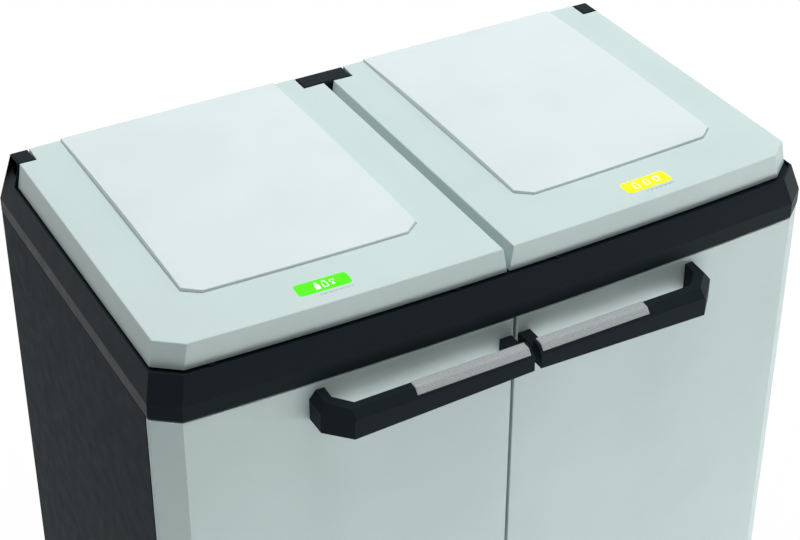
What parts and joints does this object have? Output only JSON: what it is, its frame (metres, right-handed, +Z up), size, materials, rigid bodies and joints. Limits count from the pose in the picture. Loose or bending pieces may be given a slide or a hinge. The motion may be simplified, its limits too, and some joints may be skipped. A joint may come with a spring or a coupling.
{
  "type": "waste sorting cabinet",
  "caption": "Free-standing waste-sorting cabinet with hinged push lids over bag compartments and front doors with a split bar handle.",
  "frame": {"origin": "middle of the footprint, handles included, on the floor", "axes": "+Z up, +X to the viewer's right when facing the doors, +Y towards the back"},
  "size_m": [0.68, 0.425, 0.885],
  "materials": {
    "black_plastic": "moulded black plastic, fine matt grain",
    "dark_plastic": "dark grey moulded plastic",
    "light_plastic": "light grey moulded plastic, satin",
    "plate_plastic": "pale grey inlaid plate, satin",
    "grip_plastic": "pale grey plastic with a fine knurl",
    "white_plastic": "white low-friction plastic",
    "label_yellow": "bright yellow label",
    "label_green": "bright green label",
    "foot_rubber": "black rubber",
    "zinc_steel": "zinc-plated steel",
    "pin_steel": "bright drawn steel",
    "spring_steel": "spring steel wire",
    "magnet_ferrite": "dark ferrite"
  },
  "bodies": {
    "cabinet": {"base": "black_plastic", "feet": "foot_rubber", "side_panel_left": "black_plastic", "side_panel_right": "black_plastic", "back_panel": "black_plastic", "back_screws": "zinc_steel", "divider_panel": "black_plastic", "top_frame": "black_plastic", "hinge_block": "black_plastic", "frame_screws": "zinc_steel", "block_screws": "zinc_steel", "lid_buffers": "foot_rubber", "catch_housing": "dark_plastic", "catch_magnets": "magnet_ferrite", "catch_screws": "zinc_steel", "bag_chute_left": "dark_plastic", "bag_chute_right": "dark_plastic", "hoop_pins_left": "pin_steel", "hoop_pins_right": "pin_steel", "lid_pins_left": "pin_steel", "lid_pins_right": "pin_steel", "latch_housing_left": "dark_plastic", "latch_housing_right": "dark_plastic", "latch_spring_left": "spring_steel", "latch_spring_right": "spring_steel", "door_pins_left": "pin_steel", "door_pins_right": "pin_steel"},
    "lid_left": {"lid_left": "light_plastic", "lid_plate_left": "plate_plastic", "lid_label_left": "label_green", "lid_striker_left": "light_plastic"},
    "door_left": {"door_left": "light_plastic", "handle_left": "black_plastic", "grip_left": "grip_plastic", "handle_screws_left": "zinc_steel", "strike_plate_left": "zinc_steel"},
    "hoop_left": {"bag_hoop_left": "dark_plastic"},
    "plunger_left": {"latch_plunger_left": "white_plastic"},
    "lid_right": {"lid_right": "light_plastic", "lid_plate_right": "plate_plastic", "lid_label_right": "label_yellow", "lid_striker_right": "light_plastic"},
    "door_right": {"door_right": "light_plastic", "handle_right": "black_plastic", "grip_right": "grip_plastic", "handle_screws_right": "zinc_steel", "strike_plate_right": "zinc_steel"},
    "hoop_right": {"bag_hoop_right": "dark_plastic"},
    "plunger_right": {"latch_plunger_right": "white_plastic"}
  },
  "joints": [
    {"name": "lid_hinge_left", "type": "hinge", "parent": "cabinet", "child": "lid_left", "pos_m": [-0.168, 0.2005, 0.875], "axis": [-1, 0, 0], "range_deg": [0, 80]},
    {"name": "door_hinge_left", "type": "hinge", "parent": "cabinet", "child": "door_left", "pos_m": [-0.3355, -0.144, 0.43], "axis": [0, 0, -1], "range_deg": [0, 105]},
    {"name": "hoop_hinge_left", "type": "hinge", "parent": "cabinet", "child": "hoop_left", "pos_m": [-0.164, 0.1847, 0.813], "axis": [1, 0, 0], "range_deg": [0, 70]},
    {"name": "latch_press_left", "type": "slide", "parent": "cabinet", "child": "plunger_left", "axis": [0, 0, -1], "range_m": [0, 0.0025], "stiffness_N_per_m": 400, "springref_m": -0.002, "deforming": ["latch_spring_left"]},
    {"name": "lid_hinge_right", "type": "hinge", "parent": "cabinet", "child": "lid_right", "pos_m": [0.168, 0.2005, 0.875], "axis": [-1, 0, 0], "range_deg": [0, 80]},
    {"name": "door_hinge_right", "type": "hinge", "parent": "cabinet", "child": "door_right", "pos_m": [0.3355, -0.144, 0.43], "axis": [0, 0, 1], "range_deg": [0, 105]},
    {"name": "hoop_hinge_right", "type": "hinge", "parent": "cabinet", "child": "hoop_right", "pos_m": [0.164, 0.1847, 0.813], "axis": [1, 0, 0], "range_deg": [0, 70]},
    {"name": "latch_press_right", "type": "slide", "parent": "cabinet", "child": "plunger_right", "axis": [0, 0, -1], "range_m": [0, 0.0025], "stiffness_N_per_m": 400, "springref_m": -0.002, "deforming": ["latch_spring_right"]}
  ]
}
